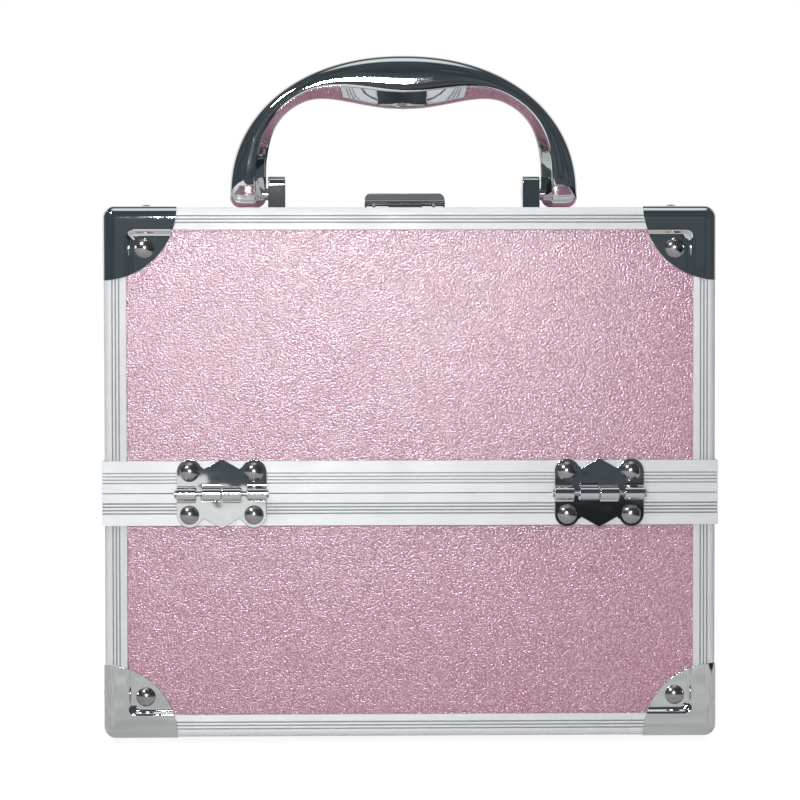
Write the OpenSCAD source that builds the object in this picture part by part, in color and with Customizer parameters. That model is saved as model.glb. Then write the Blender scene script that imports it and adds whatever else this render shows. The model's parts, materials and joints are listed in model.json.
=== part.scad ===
// Two-wing make-up case with a top handle. The base tub carries a front and a rear lid wing on
// butterfly hinges at mid height. The wings meet along the top and lift a pair of trays each.
// Millimetres, +Z up, front towards -Y, origin on the floor under the middle of the case.

/* [Case] */
// Width of the case over its edge profiles
case_w = 240; // [220:1:280]
// Depth of the case over its edge profiles
case_d = 170; // [170:1:200]
// Height of the base tub, from its underside to the seam
base_h = 96; // [85:1:130]
// Height of the lid wings, from the seam to the top
lid_h = 112; // [112:1:130]

/* [Boards and profiles] */
// Thickness of the laminated boards
board_t = 3; // [2.5:0.1:3.5]
// Thickness of the lining sheet
lining_t = 0.8; // [0.5:0.1:1]
// Width of an edge profile on each face
profile_leg = 8.8; // [8:0.1:10]
// Wall of the aluminium profiles
profile_t = 1.2; // [1:0.1:1.5]
// Outer radius of the edge profiles
profile_r = 2.8; // [2:0.1:3]
// Height of the rim band on each side of the seam
rim_h = 12.5; // [11.5:0.1:14]
// How far the rim band stands out past the edge profiles
rim_proud = 1; // [0.5:0.1:1.5]

/* [Corner caps] */
// Radius of the quarter discs that a cap lays on each face
cap_r = 29; // [26:0.5:32]
// Sheet thickness of the caps
cap_t = 0.7; // [0.6:0.1:1]
// Distance of a cap's rivets from the outer edges
cap_rivet_at = 16; // [15:0.5:19]
// Radius of the domed rivet heads
rivet_r = 3.8; // [3:0.1:4.2]

/* [Hinges] */
// Distance of each hinge from the middle of the case
hinge_x = 74; // [65:1:80]
// Outer radius of the hinge barrels
barrel_r = 2.5; // [2.3:0.1:2.7]

/* [Handle] */
// Outer width of the grip
grip_w = 147; // [140:0.2:150]
// Height of the grip's top above its pivots
grip_rise = 58.5; // [52:0.5:60]
// Thickness of the grip at its palm swell, from its top to its underside
palm_t = 22.6; // [18:0.1:24]
// Height of the handle pivots above the top of the case
pivot_up = 8.5; // [8.5:0.1:9]
// Distance of the handle pivots behind the seam between the wings
pivot_back = 14.5; // [13:0.5:16]

/* [Latch] */
// Width of the latch lever
lever_w = 33.5; // [31:0.5:36]
// Height of the latch lever above the top of the case
lever_h = 8.5; // [8:0.1:9]

/* [Trays] */
// Wall of the moulded trays
tray_wall = 1.8; // [1.5:0.1:2]
// Gap between a lower and an upper tray
tray_gap = 4; // [3.5:0.1:4.5]

/* [Hidden] */
$fn = 96;

// Finishes
pink_laminate = "#dfb4c3";
aluminium = "#d8dadd";
chrome = "#b4b8bd";
steel = "#9a9ea3";
black_lining = "#26262a";
black_plastic = "#1c1c1f";
rubber = "#2b2b2d";

// Heights of the main levels
foot_h = 2.5;
floor_z = foot_h;
seam_z = floor_z + base_h;
top_z = seam_z + lid_h;
seam_gap = 0.15;

// Faces of the walls, from the outside in
half_w = case_w / 2;
half_d = case_d / 2;
face_in = profile_t;
board_in = profile_t + board_t;
wall_in = board_in + lining_t;
edge_gap = seam_gap + profile_t;
wing_gap = 0.3;
profile_end = wing_gap + profile_leg;

// Decorative grooves
groove_w = 0.5;
groove_deep = 0.35;
groove_pitch = 1.3;
edge_groove_at = 3.1;
rim_groove_at = 3.6;

// Rim band section
rim_skin = rim_proud + profile_t;
rim_inner_leg = 3;
rim_reach = rim_skin + board_t + lining_t + profile_t;
mitre = rim_reach + 1;

// Corner caps
cap_edge_r = 4;
cap_ball_r = 5;
post_start = 4.5;
rail_end = profile_leg + 0.15;

// Rivets
rivet_h = 2;
rivet_ball_r = (rivet_r * rivet_r + rivet_h * rivet_h) / (2 * rivet_h);

// Hinges: the leaves lie on the rim bands and the barrels stand in front of them
leaf_t = 1;
hinge_y = -half_d - rim_proud - barrel_r;
hinge_pin_r = 1;
hinge_bore_r = 1.05;
lobe_r = 4.95;
lobe_x = 12.6;
lobe_up = 8.4;
leaf_peak = 13.65;
leaf_valley = [6.9, 9.7];
knuckle_spans = [[-lobe_x - lobe_r, -10], [-7.6, -0.2], [0.2, 7.6], [10, lobe_x + lobe_r]];
knuckle_room = 0.4;

// Tray gear, as distances behind the hinge axis and above the seam
link_offset = [22, -5.5];
lower_pivot = [26, 16];
upper_pivot = [58, 50];
tray_back = half_d + rim_proud + barrel_r - 2;
tray_front_top = 11;
tray_draft = 5;
tray_low = 3;
tray_tall = 34.5;
upper_low = tray_low + tray_tall + tray_gap;
upper_tall = lid_h - wall_in - upper_low - 30;
tray_end_gap = 4.5;
tray_x = half_w - wall_in - tray_end_gap;
tray_floor = 2;
tray_corner_r = 4;
boss_len = 6;
boss_half = 4.2;
pivot_stud_r = 2.05;
pivot_bore_r = 2.1;
link_stud_r = 1.85;
link_bore_r = 2.1;
link_t = 1.2;
link_x = tray_x + 1.1;
link_half = 3.3;
link_eye_r = 3.9;
inner_x = half_w - wall_in;
bore_deep = 5;

// Handle
grip_half = grip_w / 2;
grip_power = 2.15;
arm_w = 15.5;
opening_h = 43;
opening_power = 3.8;
opening_climb = 1.16;
palm_reach = 42;
palm_fall = 1.8;
palm_dip = opening_h - grip_rise + palm_t;
arm_depth = 11.6;
palm_depth = 15.6;
arm_drop = 5.9;
grip_pivot_z = top_z + pivot_up;
handle_pin_r = 2.5;
handle_bore_r = 2.56;
bracket_x = [50, 57.3];
bracket_half = 6.5;
bracket_h = 16;
bracket_top_r = 3.6;
bracket_foot = 13.4;
bracket_foot_t = 1.5;
screw_at = 9.8;
grip_stations = 48;
grip_power_across = 2.5;
grip_crease = 0.4;
arm_taper_from = 13;
end_rings = 6;

// Latch
lever_half = lever_w / 2;
lever_y = [-4.5, 18.6];
lever_lip = 5.1;
lever_slope = 7;
lever_gap = 0.4;
lever_back_r = 3.8;
lever_t = 0.9;
lever_corner_r = 2.5;
lever_pin = [15.8, 4.4];
latch_pin_r = 1;
latch_bore_r = 1.05;
plug_r = 3.7;
plug_bore_r = 3.76;
plug_y = 6;
keeper_w = 14;
keeper_y = [-13.4, -5.4];
keeper_h = 3.6;
keeper_lip = 0.7;
plate_t = 1.2;
ear_x = [12, 13.4];
ear_r = 1.7;
ear_slot_top = 7;
cam_z = [1.6, 2.6];
cam_len = 12.4;

// ---- Helpers ----

module left_right() {
    for (side = [0, 1]) mirror([side, 0, 0]) children();
}

module front_rear() {
    for (side = [0, 1]) mirror([0, side, 0]) children();
}

// A box from one corner to the opposite one
module block(low, high) {
    translate(low) cube(high - low);
}

// A plate outline with round corners
module round_rect(size, r) {
    union() {
        translate([-size[0] / 2 + r, -size[1] / 2]) square([size[0] - 2 * r, size[1]]);
        translate([-size[0] / 2, -size[1] / 2 + r]) square([size[0], size[1] - 2 * r]);
        for (sx = [-1, 1], sy = [-1, 1])
            translate([sx * (size[0] / 2 - r), sy * (size[1] / 2 - r)]) circle(r);
    }
}

// A profile drawn as y against z, drawn out along +X
module along_x(x0, x1) {
    translate([x0, 0, 0]) rotate([90, 0, 90]) linear_extrude(x1 - x0) children();
}

// A profile drawn as x against z, drawn out along +Y
module along_y(y0, y1) {
    translate([0, y1, 0]) rotate([90, 0, 0]) linear_extrude(y1 - y0) children();
}

// A shaft along X from one place to another
module shaft_x(x0, x1, r) {
    translate([x0, 0, 0]) rotate([0, 90, 0]) cylinder(h = x1 - x0, r = r);
}

// Moves a child to a pivot that is given from the hinge axis and the seam
module at_pivot(p) {
    translate([0, hinge_y + p[0], seam_z + p[1]]) children();
}

// A domed rivet head standing on z = 0
module rivet_head() {
    intersection() {
        translate([0, 0, rivet_h - rivet_ball_r]) sphere(rivet_ball_r);
        cylinder(h = rivet_h, r = rivet_r);
    }
}

// ---- Boards ----

// The front board of the base, between its rails and the rim
module base_face_board() {
    block([-half_w + face_in, -half_d + face_in, floor_z + face_in],
          [half_w - face_in, -half_d + board_in, seam_z - edge_gap]);
}

module base_end_board() {
    block([half_w - board_in, -half_d + board_in, floor_z + face_in],
          [half_w - face_in, half_d - board_in, seam_z - edge_gap]);
}

module lid_face_board() {
    block([-half_w + face_in, -half_d + face_in, seam_z + edge_gap],
          [half_w - face_in, -half_d + board_in, top_z - board_in]);
}

module lid_top_board() {
    block([-half_w + face_in, -half_d + face_in, top_z - board_in],
          [half_w - face_in, -wing_gap - profile_t, top_z - face_in]);
}

module lid_end_board() {
    block([half_w - board_in, -half_d + board_in, seam_z + edge_gap],
          [half_w - face_in, -wing_gap - profile_t, top_z - board_in]);
}

module lid_lining() {
    difference() {
        block([-half_w + board_in, -half_d + board_in, seam_z + edge_gap],
              [half_w - board_in, -wing_gap - profile_t, top_z - board_in]);
        block([-inner_x, -half_d + wall_in, seam_z],
              [inner_x, 0, top_z - wall_in]);
    }
}

// ---- Aluminium profiles ----

// Fine grooves cut into the face that lies along the X axis
module groove_cuts(first, count) {
    for (i = [0 : count - 1])
        translate([first + i * groove_pitch, -1]) square([groove_w, 1 + groove_deep]);
}

// An angle profile with its outer corner at the origin
module edge_section() {
    difference() {
        union() {
            square([profile_leg, profile_t]);
            square([profile_t, profile_leg]);
        }
        difference() {
            translate([-1, -1]) square(profile_r + 1);
            translate([profile_r, profile_r]) circle(profile_r);
        }
        groove_cuts(edge_groove_at, 3);
        mirror([1, -1]) groove_cuts(edge_groove_at, 3);
    }
}

// The profile that closes a wing along the seam: a grooved face and a short leg over the edge
module seam_section() {
    difference() {
        union() {
            square([profile_leg, profile_t]);
            square([profile_t, wall_in]);
        }
        groove_cuts(edge_groove_at, 3);
    }
}

// The rim channel: x runs inwards from the band's face and y away from the seam
module rim_section() {
    difference() {
        union() {
            square([rim_skin, rim_h]);
            square([rim_reach, profile_t]);
            translate([rim_reach - profile_t, 0]) square([profile_t, rim_inner_leg]);
        }
        mirror([1, -1]) groove_cuts(rim_groove_at, 4);
    }
}

module base_post() {
    translate([-half_w, -half_d, floor_z + post_start])
        linear_extrude(base_h - seam_gap - rim_h - post_start) edge_section();
}

module base_rails() {
    front_rear()
        translate([0, -half_d, floor_z])
            along_x(-half_w + rail_end, half_w - rail_end) edge_section();
    left_right()
        translate([-half_w, 0, floor_z])
            along_y(-half_d + rail_end, half_d - rail_end) edge_section();
}

// Corner posts, the top front rail and the two top end rails of the front wing
module lid_profiles() {
    left_right() {
        translate([-half_w, -half_d, seam_z + seam_gap + rim_h])
            linear_extrude(lid_h - seam_gap - rim_h - post_start) edge_section();
        translate([-half_w, 0, top_z])
            mirror([0, 0, 1])
                along_y(-half_d + rail_end, -wing_gap) edge_section();
    }
    translate([0, -half_d, top_z])
        mirror([0, 0, 1])
            along_x(-half_w + rail_end, half_w - rail_end) edge_section();
}

module lid_seam_profiles() {
    translate([0, -wing_gap, top_z])
        mirror([0, 1, 0]) mirror([0, 0, 1])
            along_x(-half_w + rail_end, half_w - rail_end) seam_section();
    left_right()
        translate([-half_w, -wing_gap, seam_z + seam_gap + rim_h])
            linear_extrude(lid_h - seam_gap - rim_h - rail_end)
                mirror([0, 1]) mirror([1, -1]) seam_section();
}

// Outline, seen from above, of a front rim bar with mitred ends
module front_mitre() {
    w = half_w + rim_proud;
    d = half_d + rim_proud;
    translate([0, 0, seam_z - rim_h - 1])
        linear_extrude(2 * rim_h + 2)
            polygon([[-w, -d], [w, -d], [w - mitre, -d + mitre], [-w + mitre, -d + mitre]]);
}

// Outline, seen from above, of a left rim bar that ends at y_end with no mitre
module side_mitre(y_end) {
    w = half_w + rim_proud;
    d = half_d + rim_proud;
    translate([0, 0, seam_z - rim_h - 1])
        linear_extrude(2 * rim_h + 2)
            polygon([[-w, -d], [-w + mitre, -d + mitre], [-w + mitre, y_end], [-w, y_end]]);
}

module front_rim_bar() {
    intersection() {
        translate([0, -half_d - rim_proud, seam_z + seam_gap])
            along_x(-half_w - rim_proud, half_w + rim_proud) rim_section();
        front_mitre();
    }
}

module side_rim_bar(y_end) {
    intersection() {
        translate([-half_w - rim_proud, 0, seam_z + seam_gap])
            along_y(-half_d - rim_proud, y_end) rim_section();
        side_mitre(y_end);
    }
}

module lid_rim() {
    front_rim_bar();
    left_right() side_rim_bar(-wing_gap);
}

// The base band is the lid band turned over, with its side bars mitred at both ends
module base_rim_bars() {
    translate([0, 0, 2 * seam_z]) mirror([0, 0, 1]) {
        front_rear() front_rim_bar();
        left_right()
            intersection() {
                side_rim_bar(half_d);
                mirror([0, 1, 0]) side_mitre(half_d);
            }
    }
}

// ---- Corner caps ----

// The space on the plus side of three faces, with round edges and a ball-shaped corner
module rounded_octant(low, edge_r, ball_r) {
    reach = 2 * cap_r;
    module prism() {
        translate([0, 0, low])
            linear_extrude(reach)
                union() {
                    translate([low + edge_r, low]) square([reach, reach]);
                    translate([low, low + edge_r]) square([reach, reach]);
                    translate([low + edge_r, low + edge_r]) circle(edge_r);
                }
    }
    difference() {
        intersection() {
            prism();
            rotate([90, 0, 90]) prism();
            mirror([0, 1, 0]) rotate([90, 0, 0]) prism();
        }
        difference() {
            translate([low - 1, low - 1, low - 1]) cube(ball_r + 1);
            translate([low + ball_r, low + ball_r, low + ball_r]) sphere(ball_r);
        }
    }
}

// The part of a cap that lies on the face z = 0, with its pad pressed down onto the board
module cap_lobe() {
    difference() {
        translate([-cap_t, -cap_t, -cap_t])
            intersection() {
                cylinder(h = face_in + cap_t, r = cap_r + cap_t);
                cube([2 * cap_r, 2 * cap_r, face_in + cap_t]);
            }
        translate([profile_leg + cap_t, profile_leg + cap_t, -cap_t - 1])
            cube([cap_r, cap_r, 1 + face_in]);
    }
}

// A whole cap, with the outer corner of the case at the origin and the case on its plus sides
module corner_cap() {
    difference() {
        intersection() {
            union() {
                cap_lobe();
                rotate([90, 0, 90]) cap_lobe();
                mirror([1, -1, 0]) rotate([90, 0, 90]) cap_lobe();
                translate([-cap_t, -cap_t, -cap_t]) cube(cap_ball_r);
            }
            rounded_octant(-cap_t, cap_edge_r, cap_ball_r);
        }
        // The edge profiles inside the cap
        difference() {
            rounded_octant(0, profile_r, cap_ball_r - cap_t);
            translate([profile_leg, profile_leg, -1]) cube([cap_r, cap_r, face_in + 1]);
            translate([-1, profile_leg, profile_leg]) cube([face_in + 1, cap_r, cap_r]);
            translate([profile_leg, -1, profile_leg]) cube([cap_r, face_in + 1, cap_r]);
        }
        translate([face_in, face_in, face_in]) cube(2 * cap_r);
    }
}

// The three rivets of a cap, in the same place as corner_cap
module cap_rivets() {
    seat = face_in - cap_t;
    translate([cap_rivet_at, cap_rivet_at, seat]) mirror([0, 0, 1]) rivet_head();
    translate([seat, cap_rivet_at, cap_rivet_at]) rotate([0, -90, 0]) rivet_head();
    translate([cap_rivet_at, seat, cap_rivet_at]) rotate([90, 0, 0]) rivet_head();
}

module at_low_corner() {
    translate([-half_w, -half_d, floor_z]) children();
}

module at_high_corner() {
    translate([-half_w, -half_d, top_z]) mirror([0, 0, 1]) children();
}

// ---- Hinges ----

// Half a butterfly: two round lobes and a crown, above the pin line
module leaf_outline() {
    union() {
        for (s = [-1, 1]) translate([s * lobe_x, lobe_up]) circle(lobe_r);
        translate([-lobe_x - lobe_r, 0]) square([2 * (lobe_x + lobe_r), lobe_up]);
        polygon([
            [-lobe_x, 0], [lobe_x, 0], [lobe_x, lobe_up], leaf_valley, [0, leaf_peak],
            [-leaf_valley[0], leaf_valley[1]], [-lobe_x, lobe_up]
        ]);
    }
}

// One leaf above the pin line; first is 0 or 1 for the knuckles that it carries
module hinge_leaf(first) {
    translate([0, hinge_y, seam_z])
        difference() {
            union() {
                translate([0, barrel_r, 0]) rotate([90, 0, 0]) linear_extrude(leaf_t) leaf_outline();
                for (i = [first : 2 : 3])
                    shaft_x(knuckle_spans[i][0], knuckle_spans[i][1], barrel_r);
            }
            // Room for the other leaf's knuckles
            for (i = [1 - first : 2 : 3])
                block([knuckle_spans[i][0] - knuckle_room, -barrel_r - 1, -barrel_r - 1],
                      [knuckle_spans[i][1] + knuckle_room, barrel_r + 1, barrel_r + 0.3]);
            shaft_x(-lobe_x - lobe_r - 1, lobe_x + lobe_r + 1, hinge_bore_r);
            // The leaf stays clear of the band across the seam
            block([-lobe_x - lobe_r - 1, barrel_r - leaf_t, -barrel_r - 1],
                  [lobe_x + lobe_r + 1, barrel_r + 1, seam_gap]);
        }
}

module lid_leaves() {
    for (x = [-hinge_x, hinge_x]) translate([x, 0, 0]) hinge_leaf(1);
}

module base_leaves() {
    for (x = [-hinge_x, hinge_x])
        translate([x, 0, 2 * seam_z]) mirror([0, 0, 1]) hinge_leaf(0);
}

// The rivets of the two front leaves above the seam
module leaf_rivets() {
    for (x = [-hinge_x, hinge_x], s = [-1, 1])
        translate([x + s * lobe_x, hinge_y + barrel_r - leaf_t, seam_z + lobe_up])
            rotate([90, 0, 0]) rivet_head();
}

module front_hinge_pins() {
    for (x = [-hinge_x, hinge_x])
        translate([x, hinge_y, seam_z])
            union() {
                shaft_x(-lobe_x - lobe_r - 0.6, lobe_x + lobe_r + 0.6, hinge_pin_r);
                for (s = [-1, 1])
                    translate([s * (lobe_x + lobe_r + 0.4), 0, 0]) shaft_x(-0.4, 0.4, 1.5);
            }
}

// ---- Tray gear ----

// Side outline of a tray as distance behind the hinge axis against height above the seam
function tray_side(low, tall, front_low, grow) = [
    [front_low + grow, low],
    [tray_front_top + grow, low + tall],
    [tray_back - grow, low + tall],
    [tray_back - grow, low]
];

// A moulded tray: drafted front, round corners, cells and four pivot bosses
module tray(low, tall, draft, cell_xs, pivot) {
    front_low = tray_front_top + draft;
    inner = tray_side(low + tray_floor, tall, front_low, tray_wall);
    link_hole = pivot + link_offset;
    length = tray_back - tray_front_top;
    difference() {
        union() {
            difference() {
                intersection() {
                    at_pivot([0, 0]) along_x(-tray_x, tray_x) polygon(tray_side(low, tall, front_low, 0));
                    translate([0, hinge_y + tray_front_top + length / 2, seam_z])
                        linear_extrude(lid_h) round_rect([2 * tray_x, length], tray_corner_r);
                }
                for (i = [0 : len(cell_xs) - 2])
                    at_pivot([0, 0])
                        along_x(cell_xs[i] + tray_wall / 2, cell_xs[i + 1] - tray_wall / 2)
                            polygon(inner);
            }
            left_right()
                for (p = [pivot, link_hole])
                    at_pivot(p)
                        block([tray_x - boss_len, -boss_half, low - p[1]],
                              [tray_x, boss_half, boss_half]);
        }
        left_right() {
            at_pivot(pivot) shaft_x(tray_x - bore_deep, tray_x + 1, pivot_bore_r);
            at_pivot(link_hole) shaft_x(tray_x - bore_deep, tray_x + 1, link_bore_r);
        }
    }
}

// Places of the cell walls across a tray with so many equal cells
function cell_walls(count) = [
    for (i = [0 : count])
        -tray_x + tray_wall / 2 + i * (2 * tray_x - tray_wall) / count
];

module lower_tray() {
    tray(tray_low, tray_tall, tray_draft, cell_walls(2), lower_pivot);
}

module upper_tray() {
    tray(upper_low, upper_tall, 0, cell_walls(4), upper_pivot);
}

// Shoulder studs on the wing's end walls that carry the trays
module tray_studs() {
    left_right()
        for (p = [lower_pivot, upper_pivot])
            at_pivot(p) {
                shaft_x(tray_x - bore_deep + 0.5, inner_x, pivot_stud_r);
                shaft_x(tray_x + 0.3, inner_x, 3);
                shaft_x(inner_x - 0.8, inner_x, 4);
            }
}

// Studs on the base's end walls that carry the links
module base_studs() {
    left_right()
        at_pivot(link_offset) {
            shaft_x(link_x - 1.2, inner_x, 1.8);
            shaft_x(link_x + link_t + 0.15, inner_x, 2.3);
            shaft_x(link_x - 1.2, link_x - 0.15, 2.9);
        }
}

// Steel link: a bar from the base stud to the upper tray, with an ear for the lower tray
module tray_link() {
    far = upper_pivot;
    ear = lower_pivot;
    difference() {
        at_pivot(link_offset)
            along_x(link_x, link_x + link_t)
                union() {
                    circle(link_eye_r);
                    translate(far) circle(link_eye_r);
                    translate(ear) circle(link_eye_r);
                    link_bar(far);
                    link_bar(ear);
                }
        at_pivot(link_offset) shaft_x(link_x - 1, link_x + 3, 1.9);
    }
    for (p = [far, ear])
        at_pivot(link_offset + p) {
            shaft_x(tray_x - bore_deep + 0.5, link_x, link_stud_r);
            shaft_x(tray_x + 0.3, link_x, 2.8);
        }
}

// Straight bar from the link's own pivot to a point, drawn flat
module link_bar(p) {
    rotate(atan2(p[1], p[0])) translate([0, -link_half]) square([norm(p), 2 * link_half]);
}

// ---- Handle ----

function power(value, exponent) = sign(value) * pow(abs(value), exponent);

// Outer edge of the grip as a superellipse through its pivots and its top
function grip_outer(phi) = [
    grip_half * power(cos(phi), 2 / grip_power),
    grip_rise * power(sin(phi), 2 / grip_power)
];

// Inner edge: a squarer arch, less the palm swell in its middle
function arch_x(phi) = (grip_half - arm_w) * power(cos(phi), 2 / opening_power);
function palm_swell(x) = abs(x) < palm_reach
    ? palm_dip * pow(1 - pow(x / palm_reach, 2), palm_fall)
    : 0;
function grip_inner(phi) = [
    arch_x(phi),
    opening_h * power(sin(phi), opening_climb / 2) - palm_swell(arch_x(phi))
];

function grip_depth(phi) = arm_depth + (palm_depth - arm_depth) * pow(sin(phi), 3);

// Section of the grip, as [outwards, to one side] from -1 to 1: a superellipse down to the crease,
// then a flat facet and a narrow round underside
crease_angle = acos(-pow(grip_crease, grip_power_across / 2));
half_section = [
    for (k = [0 : 9])
        let (a = crease_angle * k / 9)
        [power(cos(a), 2 / grip_power_across), power(sin(a), 2 / grip_power_across)],
    [-0.93, 0.3], [-0.985, 0.15], [-1, 0]
];
grip_section = [
    each half_section,
    for (k = [len(half_section) - 2 : -1 : 1]) [half_section[k][0], -half_section[k][1]]
];

// One ring of points about the middle of two edge points. Arms get thinner towards their ends.
function ring(outer, inner, depth, drop) =
    let (mid = (outer + inner) / 2,
         half = (outer - inner) / 2,
         low = (arm_taper_from - mid[1] + drop) / (arm_taper_from + arm_drop),
         thin = pow(1 - pow(max(0, min(0.985, low)), 3), 1 / 3))
    [for (p = grip_section)
        [mid[0] + half[0] * p[0], p[1] * thin * depth / 2, mid[1] + half[1] * p[0] - drop]];

// Rings that round off the end of an arm below its pivot
function end_ring(side, j) =
    let (a = 80 * j / end_rings,
         shrink = pow(cos(a), 0.62),
         mid = side * (grip_half - arm_w / 2),
         half = side * arm_w / 2 * shrink)
    ring([mid + half, 0], [mid - half, 0], arm_depth * pow(shrink, 0.4), arm_drop * pow(sin(a) / sin(80), 0.8));

grip_rings = [
    for (j = [end_rings : -1 : 1]) end_ring(1, j),
    for (i = [0 : grip_stations])
        let (phi = 180 * i / grip_stations)
        ring(grip_outer(phi), grip_inner(phi), grip_depth(phi), 0),
    for (j = [1 : end_rings]) end_ring(-1, j)
];

module sweep_rings(rings) {
    n = len(rings[0]);
    last = len(rings) - 1;
    polyhedron(
        points = [for (r = rings, p = r) p],
        faces = [
            [for (k = [n - 1 : -1 : 0]) k],
            for (i = [0 : last - 1], k = [0 : n - 1])
                let (a = i * n + k, b = i * n + (k + 1) % n)
                each [[a, b, b + n], [a, b + n, a + n]],
            [for (k = [0 : n - 1]) last * n + k]
        ]
    );
}

// ---- Latch ----

// Side outline of the lever: a lip in front, a slope up, and a round back end
module lever_side(inset) {
    back = lever_y[1] - inset;
    high = lever_h - inset;
    r = lever_back_r - inset;
    difference() {
        polygon([
            [lever_y[0], lever_gap], [lever_y[0], lever_lip - inset],
            [lever_y[0] + lever_slope, high], [back, high], [back, lever_gap]
        ]);
        difference() {
            translate([back - r, high - r]) square(r + 1);
            translate([back - r, high - r]) circle(r);
        }
    }
}

// Front outline of the lever, round at its upper corners
module lever_front(inset) {
    half = lever_half - inset;
    high = lever_h - inset;
    r = lever_corner_r;
    union() {
        translate([-half, -1]) square([2 * half, high - r + 1]);
        translate([-half + r, -1]) square([2 * half - 2 * r, high + 1]);
        for (s = [-1, 1]) translate([s * (half - r), high - r]) circle(r);
    }
}

// ---- Pieces of the base ----

module base_front_panel() {
    color(pink_laminate) base_face_board();
}

module base_rear_panel() {
    color(pink_laminate) mirror([0, 1, 0]) base_face_board();
}

module base_left_panel() {
    color(pink_laminate) mirror([1, 0, 0]) base_end_board();
}

module base_right_panel() {
    color(pink_laminate) base_end_board();
}

module base_bottom_panel() {
    color(pink_laminate)
        block([-half_w + board_in, -half_d + board_in, floor_z + face_in],
              [half_w - board_in, half_d - board_in, floor_z + board_in]);
}

module base_lining() {
    color(black_lining)
        difference() {
            block([-half_w + board_in, -half_d + board_in, floor_z + board_in],
                  [half_w - board_in, half_d - board_in, seam_z - edge_gap]);
            block([-inner_x, -half_d + wall_in, floor_z + wall_in],
                  [inner_x, half_d - wall_in, seam_z]);
        }
}

module base_corner_posts() {
    color(aluminium) left_right() front_rear() base_post();
}

module base_bottom_rails() {
    color(aluminium) base_rails();
}

module base_rim() {
    color(aluminium) base_rim_bars();
}

module base_corner_caps() {
    color(chrome) left_right() front_rear() at_low_corner() corner_cap();
}

module base_rivets() {
    color(steel) {
        left_right() front_rear() at_low_corner() cap_rivets();
        front_rear() translate([0, 0, 2 * seam_z]) mirror([0, 0, 1]) leaf_rivets();
    }
}

foot_r = 7;
foot_at = [half_w - 40, half_d - 40];
foot_up = floor_z + face_in;
foot_screw_r = 2.6;

module feet() {
    color(rubber)
        left_right() front_rear()
            translate(foot_at)
                difference() {
                    union() {
                        cylinder(h = foot_up, r = foot_r - 0.6);
                        translate([0, 0, 0.6]) cylinder(h = foot_up - 0.6, r = foot_r);
                    }
                    translate([0, 0, -1]) cylinder(h = 2.2, r = foot_screw_r + 0.6);
                }
}

module foot_screws() {
    color(steel)
        left_right() front_rear()
            translate([foot_at[0], foot_at[1], 0.5])
                cylinder(h = 0.7, r = foot_screw_r);
}

module hinge_base_leaves() {
    color(chrome) front_rear() base_leaves();
}

module hinge_pins() {
    color(steel) front_rear() front_hinge_pins();
}

module link_studs() {
    color(steel) front_rear() base_studs();
}

// ---- Pieces of the front wing ----

module front_lid_face_panel() {
    color(pink_laminate) lid_face_board();
}

module front_lid_top_panel() {
    color(pink_laminate) lid_top_board();
}

module front_lid_left_panel() {
    color(pink_laminate) mirror([1, 0, 0]) lid_end_board();
}

module front_lid_right_panel() {
    color(pink_laminate) lid_end_board();
}

module front_lid_lining() {
    color(black_lining) lid_lining();
}

module front_lid_edge_profiles() {
    color(aluminium) lid_profiles();
}

module front_lid_seam_profiles() {
    color(aluminium) lid_seam_profiles();
}

module front_lid_rim() {
    color(aluminium) lid_rim();
}

module front_lid_corner_caps() {
    color(chrome) left_right() at_high_corner() corner_cap();
}

module front_lid_rivets() {
    color(steel) {
        left_right() at_high_corner() cap_rivets();
        leaf_rivets();
    }
}

module front_lid_hinge_leaves() {
    color(chrome) lid_leaves();
}

module front_tray_studs() {
    color(steel) tray_studs();
}

// ---- Pieces of the rear wing ----

module rear_lid_face_panel() {
    color(pink_laminate) mirror([0, 1, 0]) lid_face_board();
}

module rear_lid_top_panel() {
    color(pink_laminate) mirror([0, 1, 0]) lid_top_board();
}

module rear_lid_left_panel() {
    color(pink_laminate) mirror([0, 1, 0]) mirror([1, 0, 0]) lid_end_board();
}

module rear_lid_right_panel() {
    color(pink_laminate) mirror([0, 1, 0]) lid_end_board();
}

module rear_lid_lining() {
    color(black_lining) mirror([0, 1, 0]) lid_lining();
}

module rear_lid_edge_profiles() {
    color(aluminium) mirror([0, 1, 0]) lid_profiles();
}

module rear_lid_seam_profiles() {
    color(aluminium) mirror([0, 1, 0]) lid_seam_profiles();
}

module rear_lid_rim() {
    color(aluminium) mirror([0, 1, 0]) lid_rim();
}

module rear_lid_corner_caps() {
    color(chrome) mirror([0, 1, 0]) left_right() at_high_corner() corner_cap();
}

module rear_lid_rivets() {
    color(steel) mirror([0, 1, 0]) {
        left_right() at_high_corner() cap_rivets();
        leaf_rivets();
    }
}

module rear_lid_hinge_leaves() {
    color(chrome) mirror([0, 1, 0]) lid_leaves();
}

module rear_tray_studs() {
    color(steel) mirror([0, 1, 0]) tray_studs();
}

// ---- Trays and links ----

module front_lower_tray() {
    color(black_plastic) lower_tray();
}

module front_upper_tray() {
    color(black_plastic) upper_tray();
}

module rear_lower_tray() {
    color(black_plastic) mirror([0, 1, 0]) lower_tray();
}

module rear_upper_tray() {
    color(black_plastic) mirror([0, 1, 0]) upper_tray();
}

module front_tray_links() {
    color(steel) left_right() tray_link();
}

module rear_tray_links() {
    color(steel) mirror([0, 1, 0]) left_right() tray_link();
}

// ---- Handle on the rear wing ----

module handle_grip() {
    color(chrome)
        translate([0, pivot_back, grip_pivot_z])
            difference() {
                sweep_rings(grip_rings);
                left_right() shaft_x(grip_half - arm_w - 2, grip_half - 5, handle_bore_r);
            }
}

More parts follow.
